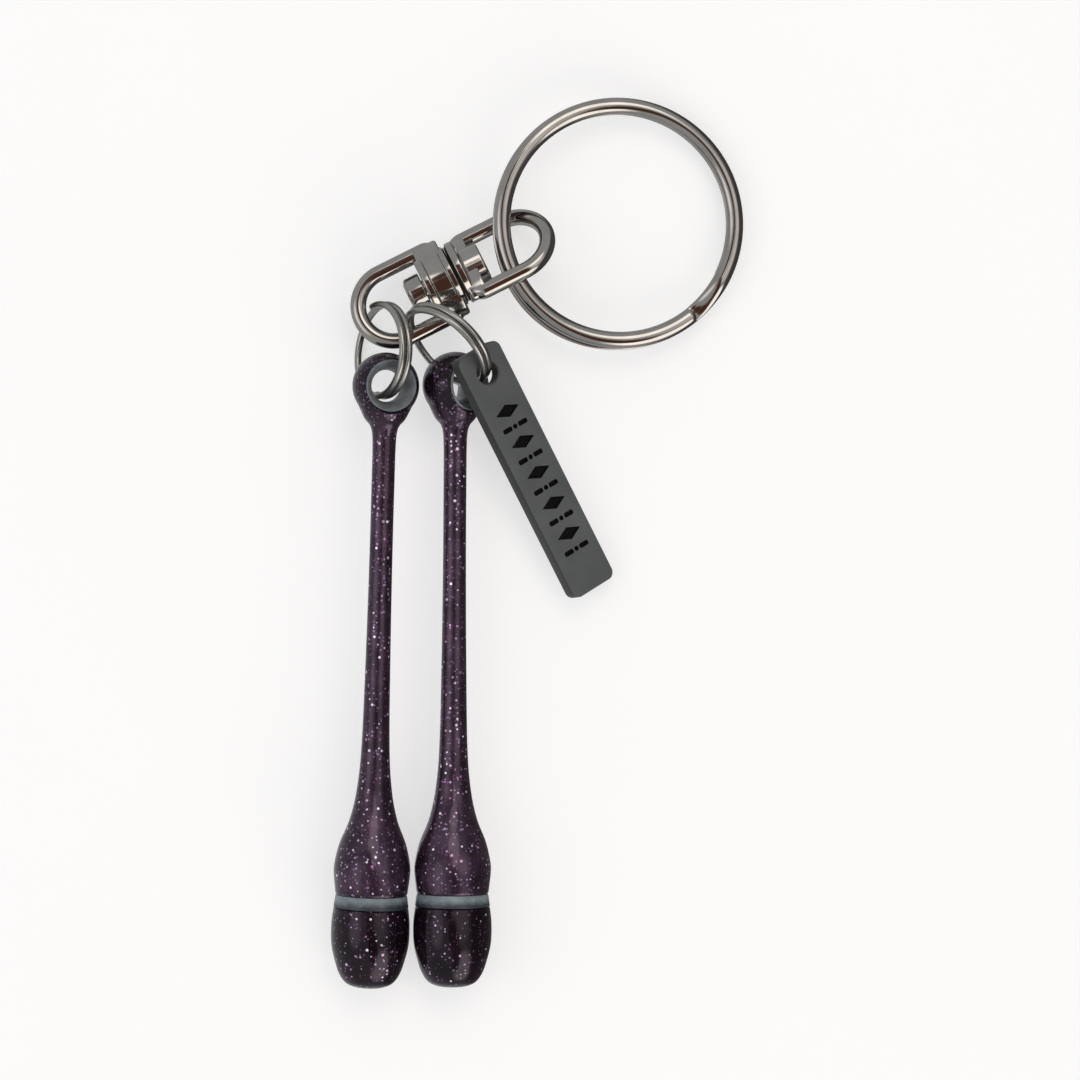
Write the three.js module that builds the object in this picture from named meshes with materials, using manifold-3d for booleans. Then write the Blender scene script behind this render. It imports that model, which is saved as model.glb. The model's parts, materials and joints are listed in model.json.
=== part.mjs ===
// Key ring charm: a split ring, a double-eye swivel, two small link rings, a soft tag
// and a pair of miniature gymnastics clubs, lying flat on a table.
// Units are millimetres, +Z is up, and the clubs point along -Y.

import * as THREE from "three";
import { mergeVertices } from "three/addons/utils/BufferGeometryUtils.js";
import Module from "manifold-3d";

const wasm = await Module();
wasm.setup();
const { Manifold, Mesh: SolidMesh } = wasm;
const rad = THREE.MathUtils.degToRad;

// ---------- driving dimensions ----------

const FIT_GAP = 0.12; // clear space between pieces that sit in or around each other

const KEY_RING = {
  radius: 14.1, // centre of the wire
  wireWidth: 2.0, // across, in the plane of the ring
  wireHeight: 1.14, // one coil
  coilPitch: 1.22,
  crossing: 22, // degrees of turn in which the wire steps from one coil to the other
  stepAt: -39, // direction of the step
  cut: 0.34, // taken off the corners of the wire's section
  steps: 96,
  centre: [19.51, 6.26, 3.28],
  levelAxis: 104, // direction of the diameter that stays level
  tilt: -6.6,
};

const LINK = { wire: 0.84, coilPitch: 0.88, crossing: 140, cut: 0.25, steps: 60 };
const LEFT_LINK = {
  radius: 5.48,
  centre: [-8.87, -9.1, 5.1],
  levelAxis: 90,
  tilt: 56.5,
  singleAt: 180, // where it is only one wire thick
};
const RIGHT_LINK = {
  radius: 5.74,
  centre: [-1.02, -8.55, 6.92],
  levelAxis: -40.6,
  tilt: -61.9,
  singleAt: 0,
};

const SWIVEL = {
  height: 4.8, // axis above the table
  heading: 26.57, // direction of the axis
  wire: 1.9,
  halfWidth: 4.3, // from the axis to the middle of an arm
  lowerBow: 12.6, // from the gap to the middle of the bow
  upperBow: 11.9,
  lowerRoll: 6,
  upperRoll: 37,
  shoulder: 1.15, // radius in which an arm bends round into its hub
  rootAt: 1.6, // how near to the axis the bent arm ends, inside the wall of the hub
  wireCut: 0.5, // taken off the corners of the wire's section
  wireSteps: 60,
  gap: 0.2, // half of the space between the two hubs
  hubRadius: 3.8,
  hubEdge: 0.55,
  faceEdge: 0.2, // the small bevel on the face at the gap
  lowerHubEnd: 4.0,
  flangeRadius: 3.9,
  flangeEnd: 1.25,
  upperHubRadius: 2.4, // beyond its flange
  upperHubEnd: 3.7,
};
const RIVET = { shank: 1.25, head: 2.25, headStart: 4.12, headEnd: 6.35, edge: 0.3 };

const CLUB = {
  headRadius: 4.0,
  neckRadius: 1.38,
  waist: 1.9, // narrowest radius of the hole in the head
  mouth: 2.95, // radius of the hole at the surface
  mouthDepth: 2.7,
  eyeletWall: 0.4,
  eyeletInset: 0.02, // how far its lips stay under the ball of the head
  holeReach: 5, // the cutting solids run this far out of the head on both sides
  headEndsAt: 126, // degrees from the top of the ball, where the neck begins
  bodyEnd: -60.9,
  bandHeight: 1.5,
  bandTopRadius: 4.24,
  bandBottomRadius: 4.52,
  footEnd: -72.1,
  spigotRadius: 2.4,
  spigotLength: 6.5,
};
// outlines as [radius, height]
const SHOULDER = [
  [2.45, -3.95],
  [1.75, -4.8],
  [1.46, -5.9],
];
const FLARE = [
  [CLUB.neckRadius, -8],
  [CLUB.neckRadius, -20],
  [1.48, -32],
  [1.68, -43],
  [2.1, -48.3],
  [2.85, -51.9],
  [3.95, -54.7],
  [4.5, -57],
  [4.58, -58.4],
  [4.32, CLUB.bodyEnd],
];
const FOOT_BARREL = [
  [4.7, -64.54],
  [4.62, -67],
  [4.06, -69.3],
  [3.55, -70.6],
];
const FOOT_TIP = [
  [2.9, -71.55],
  [1.9, CLUB.footEnd],
  [0, CLUB.footEnd],
];
const LEFT_CLUB = { head: [-8.37, -13.39, 5.99], lean: -1.67, pitch: 1.08, roll: 18 };
const RIGHT_CLUB = { head: [-0.07, -13.22, 4.07], lean: -0.33, pitch: -0.6, roll: 45 };

const TAG = {
  length: 32.2,
  width: 6.3,
  thickness: 2.0,
  corner: 1.0,
  holeRadius: 1.45,
  holeFromEnd: 3.0,
  hole: [3.42, -11.91, 7.4], // middle of the hole
  heading: -62.9,
  pitch: 10, // the free end hangs down to the table
  roll: 27, // the right edge is the lower one
};

// how finely the round shapes are cut
const SIDES = 20; // of a turned piece
const BALL_ROWS = 14;
const HEAD_ROWS = 8;
const LINING_ROWS = 9;
const BORE_ROWS = 13;
const FLARE_ROWS = 15;
const BARREL_ROWS = 8;
const CORNER_PARTS = 6; // straight lines in a round corner of the tag

// ---------- materials ----------

const finish = (color, roughness, metalness) =>
  new THREE.MeshStandardMaterial({ color, roughness, metalness });
const NICKEL = finish(0xb4aea8, 0.18, 1);
const DULL_NICKEL = finish(0xa3a29c, 0.3, 1);
const GLITTER = finish(0x2c1a2e, 0.15, 0.1);
const GREY_PLASTIC = finish(0x6b747a, 0.35, 0);
const RUBBER = finish(0x575b5c, 0.7, 0);

// ---------- helpers ----------

/** A closed solid from a three.js geometry. */
function solidOf(geometry) {
  const bare = geometry.clone();
  bare.deleteAttribute("normal");
  bare.deleteAttribute("uv");
  const merged = mergeVertices(bare, 1e-5);
  return new Manifold(
    new SolidMesh({
      numProp: 3,
      vertProperties: new Float32Array(merged.attributes.position.array),
      triVerts: new Uint32Array(merged.index.array),
    }),
  );
}

/** The three.js geometry of a solid. */
function geometryOf(solid) {
  const { vertProperties, triVerts } = solid.getMesh();
  const geometry = new THREE.BufferGeometry();
  geometry.setAttribute("position", new THREE.BufferAttribute(new Float32Array(vertProperties), 3));
  geometry.setIndex(new THREE.BufferAttribute(new Uint32Array(triVerts), 1));
  geometry.computeVertexNormals();
  return geometry;
}

/** A named mesh. */
function piece(name, geometry, material) {
  const mesh = new THREE.Mesh(geometry, material);
  mesh.name = name;
  return mesh;
}

/** Revolves an outline of [radius, height] points about +Y. */
function turned(outline, sides = SIDES) {
  const points = outline.map(([radius, height]) => new THREE.Vector2(radius, height));
  return new THREE.LatheGeometry(points, sides);
}

/** A closed outline with its corners cut, for the section of a wire. */
function wireSection(across, along, cut) {
  const x = along / 2;
  const y = across / 2;
  return new THREE.Shape([
    new THREE.Vector2(x - cut, -y),
    new THREE.Vector2(x, cut - y),
    new THREE.Vector2(x, y - cut),
    new THREE.Vector2(x - cut, y),
    new THREE.Vector2(cut - x, y),
    new THREE.Vector2(-x, y - cut),
    new THREE.Vector2(-x, cut - y),
    new THREE.Vector2(cut - x, -y),
  ]);
}

/** Sweeps a section along a curve. */
function swept(section, path, steps) {
  return new THREE.ExtrudeGeometry(section, { steps, extrudePath: path, bevelEnabled: false });
}

/** Wire wound twice round a circle; it steps from the first coil to the second over `crossing`. */
class SplitRingCurve extends THREE.Curve {
  constructor(radius, pitch, crossing, stepMiddle) {
    super();
    this.radius = radius;
    this.pitch = pitch;
    this.crossing = rad(crossing);
    this.start = rad(stepMiddle) + this.crossing / 2;
  }

  getPoint(t) {
    const turn = t * (4 * Math.PI - this.crossing);
    const climb = THREE.MathUtils.smoothstep(turn, 2 * Math.PI - this.crossing, 2 * Math.PI);
    const angle = this.start + turn;
    return new THREE.Vector3(
      this.radius * Math.cos(angle),
      this.radius * Math.sin(angle),
      (climb - 0.5) * this.pitch,
    );
  }
}

/** The middle line of an eye, in the XY plane: out of the hub, along an arm, round and back. */
class EyeCurve extends THREE.Curve {
  constructor(start, end, halfWidth, shoulder, rootAt) {
    super();
    const side = halfWidth - shoulder;
    this.plan = new THREE.Path();
    this.plan.moveTo(start, -rootAt);
    this.plan.lineTo(start, -side);
    this.plan.absarc(start + shoulder, -side, shoulder, Math.PI, 1.5 * Math.PI);
    this.plan.lineTo(end - halfWidth, -halfWidth);
    this.plan.absarc(end - halfWidth, 0, halfWidth, -Math.PI / 2, Math.PI / 2);
    this.plan.lineTo(start + shoulder, halfWidth);
    this.plan.absarc(start + shoulder, side, shoulder, Math.PI / 2, Math.PI);
    this.plan.lineTo(start, rootAt);
  }

  getPoint(t) {
    const { x, y } = this.plan.getPoint(t);
    return new THREE.Vector3(x, y, 0);
  }
}

/** Stands a ring on its centre: one diameter stays level, and the side to its right goes up. */
function placeRing(mesh, { centre, levelAxis, tilt }) {
  mesh.rotation.order = "ZYX";
  mesh.rotation.set(0, -rad(tilt), rad(levelAxis - 90));
  mesh.position.set(...centre);
  return mesh;
}

// ---------- key ring ----------

function makeKeyRing() {
  const { radius, wireWidth, wireHeight, coilPitch, crossing, stepAt, cut, steps } = KEY_RING;
  const path = new SplitRingCurve(radius, coilPitch, crossing, stepAt - KEY_RING.levelAxis + 90);
  const geometry = swept(wireSection(wireWidth, wireHeight, cut), path, steps);
  return placeRing(piece("key_ring", geometry, NICKEL), KEY_RING);
}

// ---------- swivel ----------

/** A hub turned about +X from a list of [radius, distance from the gap] points. */
function hub(outline) {
  return solidOf(turned(outline).rotateZ(-Math.PI / 2));
}

/** The round bar of one eye, towards +X, with both ends bent into the hub. */
function bow(end) {
  const { wire, halfWidth, gap, shoulder, rootAt, wireCut, wireSteps } = SWIVEL;
  const path = new EyeCurve(gap + wire / 2, end, halfWidth, shoulder, rootAt);
  return solidOf(swept(wireSection(wire, wire, wireCut), path, wireSteps));
}

function makeLowerEye() {
  const { gap, hubRadius, hubEdge, faceEdge, lowerHubEnd, lowerBow } = SWIVEL;
  const bore = RIVET.shank + FIT_GAP;
  const outline = [
    [bore, gap],
    [hubRadius - faceEdge, gap],
    [hubRadius, gap + faceEdge],
    [hubRadius, lowerHubEnd - hubEdge],
    [hubRadius - hubEdge, lowerHubEnd],
    [bore, lowerHubEnd],
    [bore, gap],
  ];
  const solid = hub(outline).add(bow(lowerBow));
  const mesh = piece("swivel_lower_eye", geometryOf(solid), NICKEL);
  mesh.rotation.set(-rad(SWIVEL.lowerRoll), 0, Math.PI);
  return mesh;
}

function makeUpperEye() {
  const { gap, flangeRadius, flangeEnd, upperHubRadius, upperHubEnd } = SWIVEL;
  const { hubEdge, faceEdge, upperBow } = SWIVEL;
  const bore = RIVET.shank + FIT_GAP;
  const outline = [
    [bore, gap],
    [flangeRadius - faceEdge, gap],
    [flangeRadius, gap + faceEdge],
    [flangeRadius, flangeEnd - faceEdge],
    [upperHubRadius, flangeEnd],
    [upperHubRadius, upperHubEnd - hubEdge],
    [upperHubRadius - hubEdge, upperHubEnd],
    [bore, upperHubEnd],
    [bore, gap],
  ];
  const solid = hub(outline).add(bow(upperBow));
  const mesh = piece("swivel_upper_eye", geometryOf(solid), NICKEL);
  mesh.rotation.set(-rad(SWIVEL.upperRoll), 0, 0);
  return mesh;
}

/** The rivet runs through both hubs; its head is inside the lower eye. */
function makeRivet() {
  const { shank, head, headStart, headEnd, edge } = RIVET;
  const outline = [
    [0, -headEnd],
    [head - edge, -headEnd],
    [head, edge - headEnd],
    [head, -headStart],
    [shank, -headStart],
    [shank, SWIVEL.upperHubEnd],
    [0, SWIVEL.upperHubEnd],
  ];
  return piece("swivel_rivet", turned(outline).rotateZ(-Math.PI / 2), NICKEL);
}

function makeSwivel() {
  const group = new THREE.Group();
  group.add(makeLowerEye(), makeUpperEye(), makeRivet());
  group.rotation.z = rad(SWIVEL.heading);
  group.position.z = SWIVEL.height;
  return group;
}

// ---------- small link rings ----------

function makeLink(name, link) {
  const { wire, coilPitch, crossing, cut, steps } = LINK;
  const path = new SplitRingCurve(link.radius, coilPitch, crossing, link.singleAt);
  const geometry = swept(wireSection(wire, wire, cut), path, steps);
  return placeRing(piece(name, geometry, DULL_NICKEL), link);
}

// ---------- clubs ----------

/** Radius of the hole through the head at a height above its middle. */
const holeRadius = (height) =>
  CLUB.waist + (CLUB.mouth - CLUB.waist) * (height / CLUB.mouthDepth) ** 2;

/** A smooth curve through [x, y] points, cut into `parts` straight lines. */
function smoothed(points, parts) {
  const curve = new THREE.SplineCurve(points.map(([x, y]) => new THREE.Vector2(x, y)));
  return curve.getPoints(parts).map((point) => [point.x, point.y]);
}

/** The flared hole as a solid along +Z, wider all over by `extra`. */
function holeSolid(extra, reach, rows) {
  const outline = [[0, -reach]];
  for (let row = 0; row < rows; row++) {
    const height = reach * ((2 * row) / (rows - 1) - 1);
    outline.push([holeRadius(height) + extra, height]);
  }
  outline.push([0, reach]);
  return solidOf(turned(outline).rotateX(Math.PI / 2));
}

/** Half outline of the club from the top of the head to the end of its upper bulb. */
function bodyOutline() {
  const { headRadius, headEndsAt, bodyEnd, spigotRadius, spigotLength } = CLUB;
  const outline = [];
  for (let row = 0; row <= HEAD_ROWS; row++) {
    const angle = rad((headEndsAt * row) / HEAD_ROWS);
    outline.push([headRadius * Math.sin(angle), headRadius * Math.cos(angle)]);
  }
  outline.push(...SHOULDER, ...smoothed(FLARE, FLARE_ROWS));
  outline.push([spigotRadius, bodyEnd]);
  outline.push([spigotRadius, bodyEnd - spigotLength], [0, bodyEnd - spigotLength]);
  return outline.reverse();
}

/** The grey lining of the hole: a flared tube that ends flush with the ball of the head. */
function makeEyelet(name) {
  const { headRadius, eyeletInset, eyeletWall, holeReach } = CLUB;
  const ball = solidOf(new THREE.SphereGeometry(headRadius - eyeletInset, SIDES, BALL_ROWS));
  const lining = holeSolid(eyeletWall, headRadius, LINING_ROWS);
  const tube = lining.subtract(holeSolid(0, holeReach, BORE_ROWS));
  return piece(name, geometryOf(tube.intersect(ball)), GREY_PLASTIC);
}

/** The glossy body: head, neck, upper bulb and the spigot that carries the band and the foot. */
function makeClubBody(name) {
  const cutter = holeSolid(CLUB.eyeletWall + FIT_GAP, CLUB.holeReach, LINING_ROWS);
  const solid = solidOf(turned(bodyOutline())).subtract(cutter);
  return piece(name, geometryOf(solid), GLITTER);
}

/** The grey band between the bulb and the foot, threaded on the spigot. */
function makeBand(name) {
  const { bodyEnd, bandHeight, bandTopRadius, bandBottomRadius, spigotRadius } = CLUB;
  const top = bodyEnd - FIT_GAP;
  const bottom = bodyEnd - bandHeight - FIT_GAP;
  const outline = [
    [spigotRadius + FIT_GAP, bottom],
    [bandBottomRadius, bottom],
    [bandTopRadius, top],
    [spigotRadius + FIT_GAP, top],
    [spigotRadius + FIT_GAP, bottom],
  ];
  return piece(name, turned(outline), GREY_PLASTIC);
}

/** The foot: a cup that closes over the end of the spigot. */
function makeFoot(name) {
  const { bodyEnd, bandHeight, bandBottomRadius, spigotRadius, spigotLength } = CLUB;
  const top = bodyEnd - bandHeight - 2 * FIT_GAP;
  const socketEnd = bodyEnd - spigotLength - FIT_GAP;
  const outline = [
    [0, socketEnd],
    [spigotRadius + FIT_GAP, socketEnd],
    [spigotRadius + FIT_GAP, top],
    ...smoothed([[bandBottomRadius, top], ...FOOT_BARREL], BARREL_ROWS),
    ...FOOT_TIP,
  ];
  return piece(name, turned(outline.reverse()), GLITTER);
}

function makeClub(side, { head, lean, pitch, roll }) {
  const club = new THREE.Group();
  club.add(
    makeClubBody(`${side}_club_body`),
    makeEyelet(`${side}_club_eyelet`),
    makeBand(`${side}_club_band`),
    makeFoot(`${side}_club_foot`),
  );
  club.rotation.order = "ZXY";
  club.rotation.set(rad(pitch), rad(roll), rad(lean));
  club.position.set(...head);
  return club;
}

// ---------- tag ----------

/** A flat rubber bar with round corners; the origin is the middle of its hole, +X its long way. */
function makeTag() {
  const { length, width, thickness, corner, holeRadius: hole, holeFromEnd } = TAG;
  const left = -holeFromEnd;
  const right = length - holeFromEnd;
  const half = width / 2;
  const outline = new THREE.Shape();
  outline.moveTo(left + corner, -half);
  outline.lineTo(right - corner, -half);
  outline.absarc(right - corner, corner - half, corner, -Math.PI / 2, 0);
  outline.absarc(right - corner, half - corner, corner, 0, Math.PI / 2);
  outline.absarc(left + corner, half - corner, corner, Math.PI / 2, Math.PI);
  outline.absarc(left + corner, corner - half, corner, Math.PI, 1.5 * Math.PI);
  const bore = new THREE.Path();
  bore.absarc(0, 0, hole, 0, 2 * Math.PI);
  outline.holes.push(bore);
  const geometry = new THREE.ExtrudeGeometry(outline, {
    depth: thickness,
    bevelEnabled: false,
    curveSegments: CORNER_PARTS,
  });
  geometry.translate(0, 0, -thickness / 2);
  const mesh = piece("tag", geometry, RUBBER);
  mesh.rotation.order = "ZYX";
  mesh.rotation.set(-rad(TAG.roll), rad(TAG.pitch), rad(TAG.heading));
  mesh.position.set(...TAG.hole);
  return mesh;
}

// ---------- assembly ----------

function assemble() {
  const charm = new THREE.Group();
  charm.add(
    makeKeyRing(),
    makeSwivel(),
    makeLink("link_ring_left", LEFT_LINK),
    makeLink("link_ring_right", RIGHT_LINK),
    makeClub("left", LEFT_CLUB),
    makeClub("right", RIGHT_CLUB),
    makeTag(),
  );
  return charm;
}

/** Puts the origin under the middle of the object, on the table. */
function centred(object) {
  const box = new THREE.Box3().setFromObject(object, true);
  const middle = box.getCenter(new THREE.Vector3());
  object.position.set(-middle.x, -middle.y, -box.min.z);
  object.updateMatrixWorld(true);
  return object;
}

const object = new THREE.Group();
object.add(centred(assemble()));
object.updateMatrixWorld(true);

export default object;
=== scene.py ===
"""Key ring charm with two miniature gymnastics clubs: the finished surfaces, materials and light.

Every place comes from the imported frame: joint axes, mounts and the vertices of its nodes.
Dimensions are in millimetres and are turned into metres when a mesh is made.
"""
import json
import math

import bmesh
import bpy
import numpy as np
from mathutils import Matrix, Vector


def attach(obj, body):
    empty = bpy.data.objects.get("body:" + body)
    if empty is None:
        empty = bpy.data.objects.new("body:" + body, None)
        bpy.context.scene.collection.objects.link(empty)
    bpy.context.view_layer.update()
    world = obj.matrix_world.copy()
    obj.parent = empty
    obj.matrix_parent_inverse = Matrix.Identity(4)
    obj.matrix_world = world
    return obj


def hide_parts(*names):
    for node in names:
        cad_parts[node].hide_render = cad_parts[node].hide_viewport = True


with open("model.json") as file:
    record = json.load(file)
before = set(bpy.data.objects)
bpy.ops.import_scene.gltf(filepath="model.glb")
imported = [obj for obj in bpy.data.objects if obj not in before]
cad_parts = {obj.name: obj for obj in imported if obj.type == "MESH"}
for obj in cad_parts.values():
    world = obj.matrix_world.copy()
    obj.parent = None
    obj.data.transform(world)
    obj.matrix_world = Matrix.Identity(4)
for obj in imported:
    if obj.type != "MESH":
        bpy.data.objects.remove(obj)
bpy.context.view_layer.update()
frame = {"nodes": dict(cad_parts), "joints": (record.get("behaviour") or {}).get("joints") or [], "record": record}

MM = 0.001
JOINTS = {joint["name"]: joint for joint in frame["joints"]}
MOUNTS = {mount["name"]: mount for mount in frame["record"]["mounts"]}
SIDES = ("left", "right")

# ---------- dimensions (mm) ----------

KEY_RING_RADIUS = 14.1
KEY_RING_PITCH = 1.22
KEY_RING_CROSSING = 22  # degrees in which the wire steps from one coil to the other
KEY_RING_STEP = -39  # direction of the step, in degrees from +X
KEY_RING_WIDTH = 2.0
KEY_RING_HEIGHT = 1.14
KEY_RING_RISE = (0.22, 0.78)  # the lower coil is domed downwards and the upper coil upwards
KEY_RING_TIP = 0.5  # length over which an end of the wire is rounded
KEY_RING_BULGE = 0.42  # how far the lower coil stands out at the bulge
KEY_RING_BULGE_AT = -92  # from the step, in degrees
KEY_RING_BULGE_SPREAD = 40
KEY_RING_SECTIONS = 560  # along the wire

LINK_WIRE = 0.8
LINK_SQUARENESS = 2.3
LINK_PITCH = 0.88
LINK_CROSSING = 140
LINK_TIP = 0.3
LINK_SECTIONS = 300

EYE_WIRE = 1.9
EYE_SQUARENESS = 2.2
EYE_HALF_WIDTH = 4.3  # from the axis to the middle of an arm
LOWER_BOW = 12.6  # from the middle of the gap to the far end of the bar's middle line
UPPER_BOW = 11.9
SHOULDER = 1.15  # radius in which an arm bends round into its hub
ROOT_AT = 1.6  # how near to the axis the bent arm ends, inside the hub
ROOT_CLEARANCE = 0.05  # between the bent arm and the plane of the rim
HUB_GAP = 0.2  # half of the space between the rims of the two hubs
BOSS_GAP = 0.03  # half of the space between their bearing faces
BOSS_RADIUS = 3.55
LOWER_RIM = 3.8
LOWER_WAIST = 3.5
LOWER_HUB_END = 4.0
LOWER_WEB = {"half_width": 4.95, "half_height": 2.75, "start": 0.45, "end": 3.55}
UPPER_FLANGE = 3.9
UPPER_HUB_RADIUS = 2.4
UPPER_HUB_END = 3.7
UPPER_WEB = {"half_width": 4.9, "half_height": 1.7, "start": 0.4, "end": 2.6}
WEB_EDGE = 0.35  # radius of the web's rounded edges
BORE_CLEARANCE = 0.1
BORE_REACH = (-1, 6)  # from before the gap to beyond the hub
RIVET_SHANK = 1.25
RIVET_END = 3.6
RIVET_HEAD = 2.25
RIVET_HEAD_START = 4.12
RIVET_HEAD_END = 6.35
WELD = 0.001  # points nearer than this are one point

HEAD_RADIUS = 4.0
HOLE_WAIST = 1.9
HOLE_MOUTH = 2.95
HOLE_DEPTH = 2.7
HOLE_REACH = 4.6  # the cutting solid runs this far both ways from the middle of the hole
EYELET_WALL = 0.4
EYELET_GAP = 0.06
EYELET_INSET = 0.02  # how far its lips stay under the ball of the head
NECK_RADIUS = 1.38
HEAD_ENDS_AT = 126  # degrees from the top of the ball, where the neck begins
BODY_END = 60.9
BAND_HEIGHT = 1.5
BAND_GAP = 0.07
FOOT_END = 72.1
FOOT_TOP_RADIUS = 4.4
SPIGOT_RADIUS = 2.4
SPIGOT_LENGTH = 6.4
SOCKET_END = 67.5

TAG_LENGTH = 32.2
TAG_WIDTH = 6.3
TAG_THICKNESS = 2.0
TAG_CORNER = 1.0
TAG_EDGE = 0.22
TAG_HOLE = 1.45
TAG_HOLE_EDGE = 0.2  # how far below the face the hole starts to widen
TAG_HOLE_FLARE = 0.7  # how much wider the cutting solid is above and below the tag
TAG_HOLE_FROM_END = 3.0
CUT_ROOM = 0.5  # how far a cutting solid stands out of the tag
ORNAMENT_DEPTH = 0.3
ORNAMENT_START = 5.2  # from the hole to the first figure
ORNAMENT_PITCH = 2.07
ORNAMENT_COUNT = 10
LOZENGE = (0.8, 1.75)  # half sizes
BAR = (0.3, 0.66)  # half sizes
BAR_OFFSET = 1.15
BAR_CORNER = 0.2
DOT_RADIUS = 0.3

CAMERA_HEIGHT = 479.0
CAMERA_OFFSET = (0.27, 0.25)
VIEW_WIDTH = 129.6  # what the camera takes in at the height of the object
OBJECT_HEIGHT = 4  # where most of the object is, above the table
SENSOR = 36.0
FLOOR_SIZE = 3000.0  # half of a side
FLOOR_DROP = 0.02  # below what the object rests on


# ---------- places, from the frame ----------

def cad_points(node):
    """The vertices of a CAD node, as rows, in metres."""
    return np.array([vertex.co for vertex in frame["nodes"][node].data.vertices])


def placed(origin, x_axis, z_axis):
    """A place with its origin, its X axis, and its Z axis as near as it can be to z_axis."""
    x_axis = Vector(x_axis).normalized()
    y_axis = Vector(z_axis).cross(x_axis).normalized()
    z_axis = x_axis.cross(y_axis)
    turn = Matrix((x_axis, y_axis, z_axis)).transposed()
    return Matrix.Translation(Vector(origin)) @ turn.to_4x4()


def upward(vector):
    """The same direction, turned to point up."""
    vector = Vector(vector).normalized()
    return vector if vector.z >= 0 else -vector


def key_ring_place():
    mount = MOUNTS["key_ring"]
    normal = upward(mount["axis"])
    return placed(mount["pos_m"], Vector((1, 0, 0)) - normal * normal.x, normal)


def link_place(node):
    """(place, radius) of a small ring, whose X axis points to where it is one wire thick."""
    points = cad_points(node)
    middle = points.mean(axis=0)
    axes = np.linalg.svd(points - middle, full_matrices=False)[2]
    flat = (points - middle) @ axes[:2].T
    system = np.column_stack([flat * 2, np.ones(len(flat))])
    solution = np.linalg.lstsq(system, (flat ** 2).sum(axis=1), rcond=None)[0]
    centre = middle + solution[:2] @ axes[:2]
    radius = math.sqrt(solution[2] + (solution[:2] ** 2).sum()) / MM
    return placed(centre, centre - middle, upward(axes[2])), radius


def eye_place(node, sign):
    """Place of one half of the swivel: X runs from the gap along its axis, Y to one of its arms."""
    joint = JOINTS["swivel_turn"]
    axis = Vector(joint["axis"]).normalized()
    points = cad_points(node) - np.array(joint["pos_m"])
    across = points - np.outer(points @ np.array(axis), np.array(axis))
    arm = Vector(np.linalg.svd(across, full_matrices=False)[2][0])
    return placed(joint["pos_m"], axis * sign, axis.cross(arm) * sign)


def hung_place(joint_name, far_node):
    """Place of a piece that hangs by a hole: origin in the hole, Z along it, X to the far node."""
    joint = JOINTS[joint_name]
    origin = Vector(joint["pos_m"])
    normal = upward(joint["axis"])
    far = Vector(cad_points(far_node).mean(axis=0)) - origin
    return placed(origin, far - normal * far.dot(normal), normal)


# ---------- mesh helpers ----------

def new_object(name, vertices, faces, place, material, smooth_angle=35):
    """An object from vertices in millimetres."""
    mesh = bpy.data.meshes.new(name)
    mesh.from_pydata([tuple(float(c) * MM for c in v) for v in vertices], [], faces)
    mesh.validate()
    mesh.update()
    thing = bpy.data.objects.new(name, mesh)
    bpy.context.scene.collection.objects.link(thing)
    thing.matrix_world = place
    thing.data.materials.append(material)
    smooth(thing, smooth_angle)
    return thing


def smooth(thing, angle):
    """Smooth shading with creases where faces meet at more than the angle."""
    mesh = thing.data
    mesh.shade_smooth()
    mesh.set_sharp_from_angle(angle=math.radians(angle))


def grid_faces(rows, columns, closed_rows=False):
    """Quads between rows of points; each row is a closed loop of columns points."""
    faces = []
    for row in range(rows if closed_rows else rows - 1):
        below = row * columns
        above = ((row + 1) % rows) * columns
        for column in range(columns):
            after = (column + 1) % columns
            faces.append((below + column, below + after, above + after, above + column))
    return faces


def lathe(name, profile, place, material, sides=128, smooth_angle=35):
    """Revolves a closed or axis-to-axis profile of (radius, along) about the local X axis."""
    profile = [(max(radius, 0.0), along) for radius, along in profile]
    closed = profile[0][0] > 1e-6
    if closed and profile[0] == profile[-1]:
        profile = profile[:-1]
    rings = profile if closed else profile[1:-1]
    angles = np.linspace(0, 2 * math.pi, sides, endpoint=False)
    vertices = []
    for radius, along in rings:
        for angle in angles:
            vertices.append((along, radius * math.cos(angle), radius * math.sin(angle)))
    faces = grid_faces(len(rings), sides, closed_rows=closed)
    if not closed:
        first, last = len(vertices), len(vertices) + 1
        vertices.append((profile[0][1], 0, 0))
        vertices.append((profile[-1][1], 0, 0))
        top = (len(rings) - 1) * sides
        for column in range(sides):
            after = (column + 1) % sides
            faces.append((first, after, column))
            faces.append((last, top + column, top + after))
    thing = new_object(name, vertices, faces, place, material, smooth_angle)
    outward(thing)
    return thing


def outward(thing):
    """Turns all faces to point out."""
    work = bmesh.new()
    work.from_mesh(thing.data)
    bmesh.ops.recalc_face_normals(work, faces=work.faces)
    work.to_mesh(thing.data)
    work.free()


def sweep(name, centres, sides_of, ups_of, sections, place, material, tip=0.0):
    """Sections of (side, up) points carried along centres, with the ends rounded over tip mm."""
    shrink = 0.45  # how much smaller the end faces are
    centres = np.asarray(centres, float)
    steps = np.linalg.norm(np.diff(centres, axis=0), axis=1)
    along = np.concatenate([[0], np.cumsum(steps)])
    to_end = np.minimum(along, along[-1] - along)
    vertices = []
    for centre, side, up, section, room in zip(centres, sides_of, ups_of, sections, to_end):
        share = 1.0 if tip == 0 else min(1.0, room / tip)
        scale = 1 - shrink + shrink * math.sqrt(1 - (1 - share) ** 2)
        for across, height in section:
            vertices.append(centre + side * across * scale + up * height * scale)
    columns = len(sections[0])
    faces = grid_faces(len(centres), columns)
    faces.append(tuple(reversed(range(columns))))
    faces.append(tuple(range(len(vertices) - columns, len(vertices))))
    thing = new_object(name, vertices, faces, place, material, smooth_angle=40)
    outward(thing)
    return thing


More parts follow.
